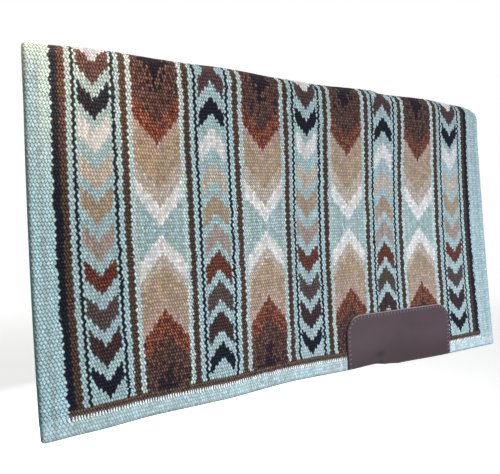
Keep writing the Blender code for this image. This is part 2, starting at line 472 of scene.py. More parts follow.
# %% [markdown]
# ## The wear leathers
#
# A wear leather is one blank of bridle hide, folded round the hem and sewn through.
# Its upper corners are round. It could be two patches, but the photograph shows the
# hide run under the hem, so the blank is bent over the hem in one piece.

# %% A blank of hide, folded round the hem
LEATHER_CORNER = 32
# Points lie close together near the edges: millimetres along the pad, shares of the way round the hem.
END_STEPS = (0, 0.1, 0.4, 0.9, 1.6, 2.8, 4.5, 7, 10, 14, 19, 25, 32)
LENGTH_STEP = 6
TRAVEL_SHARES = (0, 0.0008, 0.003, 0.006, 0.01, 0.018, 0.03)
TRAVEL_STEP = 0.022


def spread(length, near_edge, step):
    """Places from 0 to length, close together near both ends."""
    near = np.array(near_edge, dtype=float)
    middle = np.linspace(near[-1], length - near[-1], max(2, round((length - 2 * near[-1]) / step)) + 1)
    return np.concatenate([near[:-1], middle, length - near[-2::-1]])


def corner_drop(from_end):
    """How far the blank's edge falls short of its full height near a round corner."""
    return LEATHER_CORNER - half_round(from_end, LEATHER_CORNER)


def blank_point(x, travel, outwards, side):
    """A point of the blank. Travel runs down the saddle face, round the hem and up the horse's face."""
    hem = below_crest(x, HALF_WIDTH + 0 * x)
    centre = hem - FOLD_OUTSIDE
    leaf = centre - LEATHER_TOP
    turn = np.clip((travel - leaf) / FOLD_MIDDLE, 0, np.pi)
    down = np.where(travel < leaf, LEATHER_TOP + travel, centre)
    down = np.where(turn >= np.pi, centre - (travel - leaf - np.pi * FOLD_MIDDLE), down)
    reach = (FOLD_MIDDLE + outwards) * np.cos(turn)
    return on_cloth(x, down + (FOLD_MIDDLE + outwards) * np.sin(turn), reach, side)


def wear_leather(name, side):
    """One leather, with its own measure across the hide kept on its points."""
    along = spread(LEATHER_FRONT - LEATHER_REAR, END_STEPS, LENGTH_STEP)
    x = (along + LEATHER_REAR - CLOTH_LENGTH / 2)[:, None]
    hem = below_crest(x, HALF_WIDTH + 0 * x)
    full = 2 * (hem - FOLD_OUTSIDE - LEATHER_TOP) + np.pi * FOLD_MIDDLE
    from_end = np.minimum(along, LEATHER_FRONT - LEATHER_REAR - along)[:, None]
    drop = corner_drop(from_end)
    share = spread(1, TRAVEL_SHARES, TRAVEL_STEP)[None, :]
    travel = drop + (full - 2 * drop) * share
    x = x + 0 * travel
    from_top = np.minimum(travel, full - travel)
    beyond_end, beyond_top = LEATHER_CORNER - from_end, LEATHER_CORNER - from_top
    into_corner = np.hypot(np.maximum(beyond_end, 0), np.maximum(beyond_top, 0))
    in_corner = (beyond_end > 0) & (beyond_top > 0)
    from_edge = np.where(in_corner, LEATHER_CORNER - into_corner, np.minimum(from_end + 0 * travel, from_top))
    from_edge = np.maximum(from_edge, 0)
    half = half_round(from_edge, LEATHER_HALF_THICKNESS)
    rim = np.zeros(travel.shape, dtype=bool)
    rim[0] = rim[-1] = rim[:, 0] = rim[:, -1] = True
    half[rim] = 0
    faces, outer, inner = sheet_faces(*travel.shape, rim)
    if side < 0:
        faces = faces[:, ::-1]
    points = [blank_point(x, travel, away, side).reshape(-1, 3) for away in (half, -half)]
    hide = np.stack([x - x.min(), travel, from_edge], axis=-1).reshape(-1, 3)
    values = {"hide": ("FLOAT_VECTOR", np.concatenate([hide, hide]))}
    return add_mesh(name, np.concatenate(points), faces, values)


leathers = {"right": wear_leather("right_leather", -1), "left": wear_leather("left_leather", 1)}
for half_name, piece in leathers.items():
    print(half_name, "leather:", sum(len(face.vertices) - 2 for face in piece.data.polygons), "triangles")

# %% [markdown]
# ## Stitches
#
# Waxed linen thread holds each leather, a short stitch every few millimetres a little
# inside its edge. A dashed bump would do for a far view. Real stitches catch the light
# and follow the round corners, so a tree walks along a line and sets one on each step.

# %% The line of the seam
STITCH_INSET = 5
SEAM_STEP = 2
SEAM_STOPS_ABOVE_FOLD = 3
CORNER_POINTS = 12


def seam_line(name, side, leaf):
    """A seam up one leaf from the fold, across and down again, with the hide's outward direction."""
    length = LEATHER_FRONT - LEATHER_REAR
    corner = LEATHER_CORNER - STITCH_INSET
    leather_middle = np.array([(LEATHER_REAR + LEATHER_FRONT - CLOTH_LENGTH) / 2])
    hem = float(below_crest(leather_middle, HALF_WIDTH)[0])
    low = hem - FOLD_OUTSIDE - LEATHER_TOP - SEAM_STOPS_ABOVE_FOLD
    turn = np.linspace(0, np.pi / 2, CORNER_POINTS)
    rear_corner = [(LEATHER_CORNER - corner * math.cos(a), LEATHER_CORNER - corner * math.sin(a))
                   for a in turn]
    front_corner = [(length - along, down) for along, down in reversed(rear_corner)]
    rise = [(STITCH_INSET, down) for down in np.arange(low, LEATHER_CORNER + SEAM_STEP / 2, -SEAM_STEP)]
    between_corners = np.arange(LEATHER_CORNER + SEAM_STEP, length - LEATHER_CORNER, SEAM_STEP)
    across = [(along, STITCH_INSET) for along in between_corners]
    fall = [(length - along, down) for along, down in reversed(rise)]
    along, down = np.array(rise + rear_corner + across + front_corner + fall).T
    x = along + LEATHER_REAR - CLOTH_LENGTH / 2
    away = leaf * (FOLD_MIDDLE + LEATHER_HALF_THICKNESS)
    points = on_cloth(x, down + LEATHER_TOP, away, side)
    mesh = bpy.data.meshes.new(name)
    mesh.from_pydata(points.tolist(), [(i, i + 1) for i in range(len(points) - 1)], [])
    out = np.tile((0, side * leaf, 0), (len(points), 1)).astype(float)
    mesh.attributes.new("outwards", "FLOAT_VECTOR", "POINT").data.foreach_set("vector", out.ravel())
    line = bpy.data.objects.new(name, mesh)
    bpy.context.collection.objects.link(line)
    return line


print("the seam runs", STITCH_INSET, "mm inside the leather's edge")

# %% The tree that sews
BALL_SEGMENTS = 8
BALL_RINGS = 5
LEAN = math.radians(14)


def sewn_stitches():
    """A flattened ball, drawn out and leaned across the seam, is one stitch that dives into the hide."""
    tree = bpy.data.node_groups.new("sewn stitches", "GeometryNodeTree")
    for title, kind in (("Seam", "NodeSocketGeometry"), ("Stitch pitch", "NodeSocketFloat"),
                        ("Stitch size", "NodeSocketVector"), ("Thread", "NodeSocketMaterial")):
        tree.interface.new_socket(title, in_out="INPUT", socket_type=kind)
    tree.interface.new_socket("Stitches", in_out="OUTPUT", socket_type="NodeSocketGeometry")
    asked = tree.nodes.new("NodeGroupInput").outputs
    curve = add_node(tree, "GeometryNodeMeshToCurve", {"Mesh": asked["Seam"]})
    steps = add_node(tree, "GeometryNodeResampleCurve", {
        "Curve": curve, "Length": asked["Stitch pitch"],
    }, mode="LENGTH")
    ball = add_node(tree, "GeometryNodeMeshUVSphere", {
        "Segments": BALL_SEGMENTS, "Rings": BALL_RINGS, "Radius": 0.5,
    })
    outwards = add_node(tree, "GeometryNodeInputNamedAttribute", {
        "Name": "outwards",
    }, data_type="FLOAT_VECTOR")
    onwards = add_node(tree, "GeometryNodeInputTangent")
    turned = add_node(tree, "FunctionNodeAxesToRotation", {0: outwards, 1: onwards},
                      primary_axis="Z", secondary_axis="X")
    leaned = add_node(tree, "FunctionNodeRotateRotation", {0: turned, 1: (0, 0, LEAN)},
                      rotation_space="LOCAL")
    placed = add_node(tree, "GeometryNodeInstanceOnPoints", {
        "Points": steps, "Instance": ball.outputs["Mesh"], "Rotation": leaned, "Scale": asked["Stitch size"],
    })
    real = add_node(tree, "GeometryNodeRealizeInstances", {"Geometry": placed})
    smooth = add_node(tree, "GeometryNodeSetShadeSmooth", {"Geometry": real, "Shade Smooth": True})
    dressed = add_node(tree, "GeometryNodeSetMaterial", {"Geometry": smooth, "Material": asked["Thread"]})
    add_node(tree, "NodeGroupOutput", {0: dressed})
    return tree


thread = bpy.data.materials.new("waxed linen thread")
stitch_tree = sewn_stitches()
stitch_sizes = {
    "Stitch pitch": 7.6 * MM, "Stitch size": (2.6 * MM, 6.2 * MM, 0.9 * MM), "Thread": thread,
}
seams = {}
for half_name, side in (("right", -1), ("left", 1)):
    for leaf_name, leaf in (("outer", 1), ("inner", -1)):
        title = f"{half_name}_{leaf_name}_stitches"
        seams[title] = made_by_tree(title, seam_line(title + "_line", side, leaf), stitch_tree, stitch_sizes)
        print(title, len(seams[title].data.polygons) // (BALL_SEGMENTS * BALL_RINGS), "stitches")

# %% [markdown]
# ## Wool in a weft-faced weave
#
# The yarn is thick, matt, plant- and pot-dyed wool. In a weft-faced weave the colours
# are solid blocks whose edges follow the floats, so a slanting edge climbs in steps.
# The pattern could be painted, but a rule is sharper: each float finds its own middle,
# and asks the design which colour of yarn lies there. The design repeats every 168 mm.

# %% Yarn colours
def linear(code, share=1.0):
    """An sRGB hex colour as the linear colour that a shader takes."""
    parts = [int(code[place:place + 2], 16) / 255 for place in (1, 3, 5)]
    return tuple(share * (p / 12.92 if p <= 0.04045 else ((p + 0.055) / 1.055) ** 2.4) for p in parts) + (1,)


YARNS = {
    "turquoise": "#A0BAC0",
    "border": "#A8C4CC",
    "pale turquoise": "#A4BEC4",
    "frost": "#B4C8CA",
    "black": "#1A1E28",
    "spot": "#24202A",
    "stripe brown": "#443630",
    "cream": "#D6D8DA",
    "sand": "#B8B0A4",
    "ochre": "#A09280",
    "rose": "#9E928C",
    "rust": "#6A4034",
    "brown": "#4C4240",
    "chevron rust": "#5A342A",
    "maroon": "#3A2C2E",
    "crest maroon": "#4A3A3A",
    "core": "#4C3A36",
    "tan": "#A89886",
    "grey tan": "#B6B0A8",
    "white": "#DCE0E4",
    "pink": "#AC9A90",
    "hem brown": "#52443C",
}
GROUND = "turquoise"


def band_stops(bands, start, reach, ground=GROUND):
    """Ramp stops for bands of yarn given by where each starts and ends, with the ground between them."""
    stops = [(0.0, linear(YARNS[ground]))] if bands[0][1] > start else []
    for number, (yarn, first, last) in enumerate(bands):
        stops.append(((first - start) / reach, linear(YARNS[yarn])))
        follows = number + 1 < len(bands) and bands[number + 1][1] <= last
        if not follows and last < start + reach:
            stops.append(((last - start) / reach, linear(YARNS[ground])))
    return stops


print(len(YARNS), "yarns")

# %% [markdown]
# ## The design
#
# Five columns of chevrons, with four of arrowheads between them, could be drawn one by
# one. They repeat, so a few bands of yarn with where each starts and ends say it all,
# and a slanting measure turns a level band into a chevron.

# %% The design in millimetres
REPEAT = 168
FIRST_CHEVRON = 80.6
DESIGN_MIDDLE = FIRST_CHEVRON + 2 * REPEAT
CHEVRON_HALF = 20.5
ARROW_START = 50.5
BORDER_START = 52.1
BORDER_END = 100
# Bands by distance from a chevron column's middle.
STRIPES = (
    ("turquoise", CHEVRON_HALF, 23.4), ("black", 23.4, 27), ("pale turquoise", 27, 34.4),
    ("stripe brown", 34.4, 43.3), ("frost", 43.3, ARROW_START),
)
END_STRIPES = (
    ("turquoise", CHEVRON_HALF, 23.4), ("black", 23.4, 27), ("pale turquoise", 27, 34.6),
    ("stripe brown", 34.6, 43.1), ("black", 43.1, BORDER_START), ("border", BORDER_START, BORDER_END),
)
# Bands of each column by their height below the crest at the column's middle.
POINTS_DOWN = (
    ("cream", -10, 35), ("crest maroon", 35, 60.6), ("black", 80, 106), ("cream", 121, 149),
    ("sand", 172, 197), ("ochre", 214, 242), ("rose", 262, 288), ("chevron rust", 308, 334),
    ("brown", 354, 382), ("maroon", 399, 427), ("black", 445, 467),
)
POINTS_UP = (
    ("crest maroon", 12, 39), ("black", 58, 83), ("cream", 104, 132), ("sand", 154, 180),
    ("ochre", 200, 227), ("rose", 243, 270), ("chevron rust", 284, 313), ("brown", 329, 356),
    ("maroon", 374, 402), ("black", 419, 440),
)
UPPER_ARROW = (
    ("core", -10, 107), ("rust", 107, 133), ("pink", 133, 150), ("tan", 150, 195), ("grey tan", 195, 220),
    ("white", 220, 246),
)
LOWER_ARROW = (
    ("white", 258, 283), ("grey tan", 283, 300), ("tan", 300, 340), ("pink", 340, 364.5),
    ("rust", 364.5, 394), ("core", 394, 560),
)
# Rise of the slanting edges, for each millimetre along the pad.
DOWN_SLOPE = 1.146
UP_SLOPE = 1.2
ARROW_SLOPE = 1.2
print("design repeats every", REPEAT, "mm, with its middle at", DESIGN_MIDDLE, "mm")

# %% [markdown]
# ## Each float finds its own middle
#
# Wool in this weave gives the eye matt blocks of colour, broken into small bright grains
# with dark gaps. A bitmap of the floats would do, but it repeats and blurs. Here the
# place on the weave is counted in floats and ribs, and rounding down numbers each float.
# The counts are shifted a little by a smooth noise, as no weaver beats the weft evenly.

# %% Counts of floats and ribs
wool.use_nodes = True
tree = wool.node_tree
shader = tree.nodes["Principled BSDF"]
weave = add_node(tree, "ShaderNodeAttribute", attribute_name="weave").outputs["Vector"]
place = add_node(tree, "ShaderNodeSeparateXYZ", {0: weave})
yarn, height = place.outputs["X"], place.outputs["Y"]
BEAT_ALONG = 0.9
BEAT_DOWN = 0.6
BEAT_SCALE = (0.08, 0.12, 0)
HALVES = (0.5, 0.5, 0.5)
uneven_place = add_node(tree, VECTORS, {0: weave, 1: BEAT_SCALE}, operation="MULTIPLY")
uneven_noise = add_node(tree, "ShaderNodeTexNoise", {"Vector": uneven_place, "Scale": 1.0, "Detail": 1.0})
centred = add_node(tree, VECTORS, {0: uneven_noise.outputs["Color"], 1: HALVES}, operation="SUBTRACT")
beat = add_node(tree, "ShaderNodeSeparateXYZ", {0: centred})
floats_even = add_node(tree, MATHS, {0: yarn, 1: 1 / FLOAT_PITCH}, operation="MULTIPLY")
ribs_even = add_node(tree, MATHS, {0: height, 1: 1 / RIB_PITCH}, operation="MULTIPLY")
floats_along = add_node(tree, MATHS, {
    0: beat.outputs["X"], 1: BEAT_ALONG, 2: floats_even,
}, operation="MULTIPLY_ADD")
ribs_straight = add_node(tree, MATHS, {
    0: beat.outputs["Y"], 1: BEAT_DOWN, 2: ribs_even,
}, operation="MULTIPLY_ADD")
print("the beat shifts a yarn by up to", round(BEAT_ALONG * FLOAT_PITCH / 2, 1), "mm")

# %% [markdown]
# ## Floats interlock
#
# The floats of neighbouring ribs lie half a float apart and press into each other like
# grains of rice. Straight ribs with dark lines between them would look like brickwork.
# Two crossed waves bend the line between ribs instead, and bend it more just below the
# hem band, where the photograph shows the yarns as a row of teeth.

# %% Rib, float and the float's middle
INTERLOCK = 0.2
TEETH = 0.5
TEETH_RIB = 100
rib_turn = add_node(tree, MATHS, {0: ribs_straight, 1: math.pi}, operation="MULTIPLY")
float_turn = add_node(tree, MATHS, {0: floats_along, 1: math.tau}, operation="MULTIPLY")
rib_wave = add_node(tree, MATHS, {0: rib_turn}, operation="COSINE")
float_wave = add_node(tree, MATHS, {0: float_turn}, operation="COSINE")
both_waves = add_node(tree, MATHS, {0: rib_wave, 1: float_wave}, operation="MULTIPLY")
from_teeth = add_node(tree, MATHS, {0: ribs_even, 1: TEETH_RIB}, operation="SUBTRACT")
off_teeth = add_node(tree, MATHS, {0: from_teeth}, operation="ABSOLUTE")
depth = add_node(tree, RANGE, {
    "Value": off_teeth, "From Min": 0.2, "From Max": 1.0, "To Min": INTERLOCK + TEETH, "To Max": INTERLOCK,
})
pushed = add_node(tree, MATHS, {0: both_waves, 1: depth}, operation="MULTIPLY")
ribs_down = add_node(tree, MATHS, {0: ribs_straight, 1: pushed}, operation="SUBTRACT")
rib = add_node(tree, MATHS, {0: ribs_down}, operation="FLOOR")
odd = add_node(tree, MATHS, {0: rib, 1: 1}, operation="PINGPONG")
floats_shifted = add_node(tree, MATHS, {0: odd, 1: 0.5, 2: floats_along}, operation="MULTIPLY_ADD")
float_number = add_node(tree, MATHS, {0: floats_shifted}, operation="FLOOR")
across_float = add_node(tree, MATHS, {0: floats_shifted}, operation="FRACT")
down_float = add_node(tree, MATHS, {0: ribs_down}, operation="FRACT")
shift_back = add_node(tree, MATHS, {0: odd, 1: -0.5, 2: 0.5}, operation="MULTIPLY_ADD")
middle_number = add_node(tree, MATHS, {0: float_number, 1: shift_back}, operation="ADD")
middle_yarn = add_node(tree, MATHS, {0: middle_number, 1: FLOAT_PITCH}, operation="MULTIPLY")
middle_height = add_node(tree, MATHS, {0: rib, 1: RIB_PITCH, 2: RIB_PITCH / 2}, operation="MULTIPLY_ADD")
print("ribs reach", round(INTERLOCK * RIB_PITCH, 1), "mm into each other,",
      round((INTERLOCK + TEETH) * RIB_PITCH, 1), "mm at the teeth")

# %% [markdown]
# ## A weaver's hand is not a ruler
#
# Drawn with straight rules, the pattern looks printed. Moving whole floats at random
# would tear its edges. A slow noise moves the place at which each float asks for its
# colour, so that a line steps aside by a float here and there and stays whole.

# %% Wander
WANDER = 4.0
WANDER_SCALE = (0.006, 0.022, 0)
BEAT_BACK = (BEAT_ALONG * FLOAT_PITCH, BEAT_DOWN * RIB_PITCH, 0)
middle_place = add_node(tree, "ShaderNodeCombineXYZ", {0: middle_yarn, 1: middle_height})
beaten = add_node(tree, VECTORS, {0: centred, 1: BEAT_BACK}, operation="MULTIPLY")
true_place = add_node(tree, VECTORS, {0: middle_place, 1: beaten}, operation="SUBTRACT")
slow_place = add_node(tree, VECTORS, {0: true_place, 1: WANDER_SCALE}, operation="MULTIPLY")
slow_noise = add_node(tree, "ShaderNodeTexNoise", {"Vector": slow_place, "Scale": 1.0, "Detail": 2.0})
wander = add_node(tree, VECTORS, {0: slow_noise.outputs["Color"], 1: HALVES}, operation="SUBTRACT")
design_place = add_node(tree, VECTORS, {
    0: wander, 1: (WANDER, WANDER, 0), 2: true_place,
}, operation="MULTIPLY_ADD")
design = add_node(tree, "ShaderNodeSeparateXYZ", {0: design_place})
design_yarn, design_height = design.outputs["X"], design.outputs["Y"]
print("the design is moved by up to", WANDER / 2, "mm")

# %% [markdown]
# ## Columns of the design
#
# Chevron columns point down and up in turn, and an arrow column lies between each two.
# Folding the distance along the pad like a paper fan gives every column the same
# measure from its middle, and the count of folds tells which way its points look.

# %% Which column a float lies in
from_first = add_node(tree, MATHS, {0: design_yarn, 1: FIRST_CHEVRON}, operation="SUBTRACT")
from_chevron = add_node(tree, MATHS, {0: from_first, 1: REPEAT / 2}, operation="PINGPONG")
from_arrow = add_node(tree, MATHS, {0: REPEAT / 2, 1: from_chevron}, operation="SUBTRACT")
column_share = add_node(tree, MATHS, {0: from_first, 1: 1 / REPEAT}, operation="MULTIPLY")
column = add_node(tree, MATHS, {0: column_share}, operation="ROUND")
points_up = add_node(tree, MATHS, {0: column, 1: 1}, operation="PINGPONG")
from_middle = add_node(tree, MATHS, {0: design_yarn, 1: DESIGN_MIDDLE}, operation="SUBTRACT")
either_way = add_node(tree, MATHS, {0: from_middle}, operation="ABSOLUTE")
beyond_last = add_node(tree, MATHS, {0: either_way, 1: 2 * REPEAT}, operation="SUBTRACT")
print("the last chevron column is", 2 * REPEAT, "mm from the middle one")

# %% Stripes, chevrons and arrowheads
stripe_place = add_node(tree, MATHS, {0: from_chevron, 1: 1 / REPEAT}, operation="MULTIPLY")
stripe_ramp = add_node(tree, RAMP, {0: stripe_place}, stops=band_stops(STRIPES, 0, REPEAT))
end_place = add_node(tree, MATHS, {0: beyond_last, 1: 1 / BORDER_END}, operation="MULTIPLY")
end_ramp = add_node(tree, RAMP, {0: end_place}, stops=band_stops(END_STRIPES, 0, BORDER_END))
# The slanting measures run from a margin above the crest, over their whole reach.
REACH = 600
MARGIN = 50
CREST_CROSSING = 31
ARROWS_MEET = 256


def slanted(from_column, slope):
    """Height below the crest, with a share of the distance from a column added to it."""
    return add_node(tree, MATHS, {0: from_column, 1: slope, 2: design_height}, operation="MULTIPLY_ADD")


def bands_along(measure, bands):
    """The yarn colour that a slanted measure gives."""
    share = add_node(tree, MATHS, {0: measure, 1: 1 / REACH, 2: MARGIN / REACH}, operation="MULTIPLY_ADD")
    return add_node(tree, RAMP, {0: share}, stops=band_stops(bands, -MARGIN, REACH))


to_point = slanted(from_chevron, DOWN_SLOPE)
down_bands = bands_along(to_point, POINTS_DOWN)
up_bands = bands_along(slanted(from_chevron, -UP_SLOPE), POINTS_UP)
by_crest = add_node(tree, MATHS, {0: to_point, 1: CREST_CROSSING}, operation="LESS_THAN")
crossed_up = add_node(tree, MIX, {
    0: by_crest, 6: up_bands, 7: linear(YARNS["crest maroon"]),
}, data_type="RGBA")
chevrons = add_node(tree, MIX, {0: points_up, 6: down_bands, 7: crossed_up}, data_type="RGBA")

to_foot = slanted(from_arrow, -ARROW_SLOPE)
upper_bands = bands_along(slanted(from_arrow, ARROW_SLOPE), UPPER_ARROW)
lower_bands = bands_along(to_foot, LOWER_ARROW)
in_lower = add_node(tree, MATHS, {0: to_foot, 1: ARROWS_MEET}, operation="GREATER_THAN")
arrows = add_node(tree, MIX, {0: in_lower, 6: upper_bands, 7: lower_bands}, data_type="RGBA")

in_chevron = add_node(tree, MATHS, {0: from_chevron, 1: CHEVRON_HALF}, operation="LESS_THAN")
in_arrow = add_node(tree, MATHS, {0: from_chevron, 1: ARROW_START}, operation="GREATER_THAN")
past_end = add_node(tree, MATHS, {0: beyond_last, 1: CHEVRON_HALF}, operation="GREATER_THAN")
with_chevrons = add_node(tree, MIX, {0: in_chevron, 6: stripe_ramp, 7: chevrons}, data_type="RGBA")
with_arrows = add_node(tree, MIX, {0: in_arrow, 6: with_chevrons, 7: arrows}, data_type="RGBA")
with_ends = add_node(tree, MIX, {0: past_end, 6: with_arrows, 7: end_ramp}, data_type="RGBA")
print("arrowheads meet", ARROWS_MEET, "mm below the crest")

# %% The band along the hem covers two ribs
BAND_TOP = 98 * RIB_PITCH
BAND_FOOT = 100 * RIB_PITCH
HEM_BAND_END = 52.7
below_columns = add_node(tree, MATHS, {0: design_height, 1: BAND_TOP}, operation="GREATER_THAN")
below_band = add_node(tree, MATHS, {0: design_height, 1: BAND_FOOT}, operation="GREATER_THAN")
hem_yarns = add_node(tree, MIX, {
    0: below_band, 6: linear(YARNS["hem brown"]), 7: linear(YARNS["border"]),
}, data_type="RGBA")
inside_border = add_node(tree, MATHS, {0: beyond_last, 1: HEM_BAND_END}, operation="LESS_THAN")
in_hem = add_node(tree, MATHS, {0: below_columns, 1: inside_border}, operation="MULTIPLY")
pattern = add_node(tree, MIX, {0: in_hem, 6: with_ends, 7: hem_yarns}, data_type="RGBA")
print(len(tree.nodes), "nodes draw the pattern")

# %% [markdown]
# ## Bleached wool and painted sunlight
#
# Near the rear end the crest is pale. Its yarns have lost much of their colour, and a
# painted low sun lights them as well. A lamp brightens pale yarns most, while bleaching
# changes the dark ones most. So each colour is multiplied by a gain of its own, which is
# stronger for dark yarns, and a little painted light of loose fibres is added. The rear
# edge keeps more of its colour.

# %% Where the painted low sun falls on the cloth and its yarns have faded
SUNLIT_BLEACHED_LENGTH = 260
SUNLIT_BLEACHED_HEIGHT = 240
DARK_GAIN = (2.3, 1.6, 1.15, 1)
PALE_GAIN = (1.7, 1.4, 1.2, 1)
LIT_FUZZ = (0.022, 0.022, 0.024, 1)
PALEST = (0.8, 0.78, 0.82)
WHITE = (1, 1, 1, 1)
along_share = add_node(tree, RANGE, {
    "Value": middle_yarn, "From Max": SUNLIT_BLEACHED_LENGTH, "To Min": 1.0, "To Max": 0.0,
}, interpolation_type="SMOOTHSTEP")
down_share = add_node(tree, RANGE, {
    "Value": middle_height, "From Max": SUNLIT_BLEACHED_HEIGHT, "To Min": 1.0, "To Max": 0.0,
}, interpolation_type="SMOOTHSTEP")
inside_edge = add_node(tree, RANGE, {
    "Value": middle_yarn, "From Min": 8.0, "From Max": 20.0, "To Min": 0.15, "To Max": 1.0,
})
near_crest = add_node(tree, RANGE, {
    "Value": middle_height, "From Min": 20.0, "From Max": 70.0, "To Min": 1.0, "To Max": 0.0,
})
bare = add_node(tree, MATHS, {0: inside_edge, 1: near_crest}, operation="MAXIMUM")
corner_share = add_node(tree, MATHS, {0: along_share, 1: down_share}, operation="MULTIPLY")
# Painted sunlight and faded yarns share this mask.
sunlit_and_bleached = add_node(tree, MATHS, {0: corner_share, 1: bare}, operation="MULTIPLY")
lightness = add_node(tree, "ShaderNodeRGBToBW", {"Color": pattern})
pale = add_node(tree, RANGE, {
    "Value": lightness, "From Min": 0.04, "From Max": 0.3, "To Min": 0.0, "To Max": 1.0,
})
most_gain = add_node(tree, MIX, {0: pale, 6: DARK_GAIN, 7: PALE_GAIN}, data_type="RGBA")
gain = add_node(tree, MIX, {0: sunlit_and_bleached, 6: WHITE, 7: most_gain}, data_type="RGBA")
# A little painted light, as of loose fibres catching the sun, is added.
lit_fuzz = add_node(tree, MIX, {0: sunlit_and_bleached, 6: (0, 0, 0, 1), 7: LIT_FUZZ}, data_type="RGBA")
paler = add_node(tree, VECTORS, {0: pattern, 1: gain, 2: lit_fuzz}, operation="MULTIPLY_ADD")
with_painted_sun = add_node(tree, VECTORS, {0: paler, 1: PALEST}, operation="MINIMUM")
print("bleached over", SUNLIT_BLEACHED_LENGTH, "by", SUNLIT_BLEACHED_HEIGHT, "mm")

# %% [markdown]
# ## Flecks and spots in the arrowheads
#
# The arrowheads' yarns are flecked with lighter and darker fleece, and nearly black
# spots lie at their ends. A noise over the cloth's own points would shade one float in
# two colours. Asked at each float's middle, and read in steps, it keeps each float of
# one colour. The same noise frays the edges of the spots.

# %% Flecks of other fleece
FLECK_SCALE = (0.31, 0.17, 0)
fleck_place = add_node(tree, VECTORS, {0: middle_place, 1: FLECK_SCALE}, operation="MULTIPLY")
fleck_noise = add_node(tree, "ShaderNodeTexNoise", {"Vector": fleck_place, "Scale": 1.0, "Detail": 2.0})
pale_flecks = add_node(tree, RAMP, {0: fleck_noise.outputs[0]}, stops=(
    (0.0, (0.86, 0.82, 0.86, 1)), (0.42, WHITE),
    (0.5, (0.95, 0.92, 0.84, 1)), (0.57, (1.1, 1.07, 1.04, 1)),
))
dark_flecks = add_node(tree, RAMP, {0: fleck_noise.outputs[0]}, stops=(
    (0.0, (0.5, 0.48, 0.58, 1)), (0.42, (0.87, 0.8, 0.84, 1)),
    (0.5, (1.18, 1.2, 1.12, 1)), (0.58, (1.4, 1.48, 1.5, 1)),
))
arrow_fleck = add_node(tree, MATHS, {0: in_arrow, 1: past_end}, operation="GREATER_THAN")
fleck = add_node(tree, MIX, {0: pale, 6: dark_flecks, 7: pale_flecks}, data_type="RGBA")
fleck_here = add_node(tree, MIX, {0: arrow_fleck, 6: WHITE, 7: fleck}, data_type="RGBA")
flecked = add_node(tree, VECTORS, {0: with_painted_sun, 1: fleck_here}, operation="MULTIPLY")
print("flecks come in", len(dark_flecks.color_ramp.elements), "steps")

# %% Dark spots at the crest and the foot of each arrowhead
PATCHY = 80
SPECKLED = 30
FRAY = (PATCHY + SPECKLED) / 2
CREST_SPOT_SLOPE = 2.3
CREST_SPOT_END = 60
FOOT_SPOT_SLOPE = -1.6
FOOT_SPOT_START = 447
float_noise = add_node(tree, "ShaderNodeTexWhiteNoise", {"Vector": middle_place}, noise_dimensions="2D")
patch = add_node(tree, MATHS, {
    0: fleck_noise.outputs[0], 1: PATCHY, 2: design_height,
}, operation="MULTIPLY_ADD")
speck = add_node(tree, MATHS, {
    0: float_noise.outputs["Value"], 1: SPECKLED, 2: patch,
}, operation="MULTIPLY_ADD")
crest_spot = add_node(tree, MATHS, {
    0: from_arrow, 1: CREST_SPOT_SLOPE, 2: speck,
}, operation="MULTIPLY_ADD")
in_crest_spot = add_node(tree, MATHS, {0: crest_spot, 1: CREST_SPOT_END + FRAY}, operation="LESS_THAN")
foot_spot = add_node(tree, MATHS, {0: from_arrow, 1: FOOT_SPOT_SLOPE, 2: speck}, operation="MULTIPLY_ADD")
in_foot_spot = add_node(tree, MATHS, {0: foot_spot, 1: FOOT_SPOT_START + FRAY}, operation="GREATER_THAN")
not_hem = add_node(tree, MATHS, {0: in_foot_spot, 1: in_hem}, operation="GREATER_THAN")
either_spot = add_node(tree, MATHS, {0: in_crest_spot, 1: not_hem}, operation="MAXIMUM")
in_spot = add_node(tree, MATHS, {0: either_spot, 1: arrow_fleck}, operation="MULTIPLY")
spotted = add_node(tree, MIX, {0: in_spot, 6: flecked, 7: linear(YARNS["spot"])}, data_type="RGBA")
print("spots end", CREST_SPOT_END, "mm below the crest and start again at", FOOT_SPOT_START, "mm")

# %% [markdown]
# ## The grain of each float
#
# No two floats of hand-spun yarn are quite alike, so each takes a little light, hue and
# richness of its own. Real geometry for 47,000 floats would be heavy, and each is only
# about 4 mm wide. A painted highlight on an oval, with painted shade in the gaps round it,
# reads the same from here.

# %% Each float differs a little
LIGHT_SPREAD = 0.3
HUE_SPREAD = 0.01
RICHNESS_SPREAD = 0.2
pick_noise = add_node(tree, "ShaderNodeTexWhiteNoise", {"W": middle_number}, noise_dimensions="1D")
pick_and_float = add_node(tree, MATHS, {
    0: float_noise.outputs["Value"], 1: pick_noise.outputs["Value"],
}, operation="ADD")
light_share = add_node(tree, MATHS, {
    0: pick_and_float, 1: LIGHT_SPREAD, 2: 1 - LIGHT_SPREAD,
}, operation="MULTIPLY_ADD")
hue = add_node(tree, MATHS, {
    0: float_noise.outputs["Value"], 1: HUE_SPREAD, 2: 0.5 - HUE_SPREAD / 2,
}, operation="MULTIPLY_ADD")
richness = add_node(tree, MATHS, {
    0: pick_noise.outputs["Value"], 1: RICHNESS_SPREAD, 2: 1 - RICHNESS_SPREAD / 2,
}, operation="MULTIPLY_ADD")
uneven = add_node(tree, "ShaderNodeHueSaturation", {
    "Color": spotted, "Hue": hue, "Saturation": richness, "Value": light_share,
})
print(2 * FLOATS * RIBS, "floats on each face of the cloth")

# %% Each float is an oval with a painted highlight, between gaps of painted shade
SLANT = -0.3
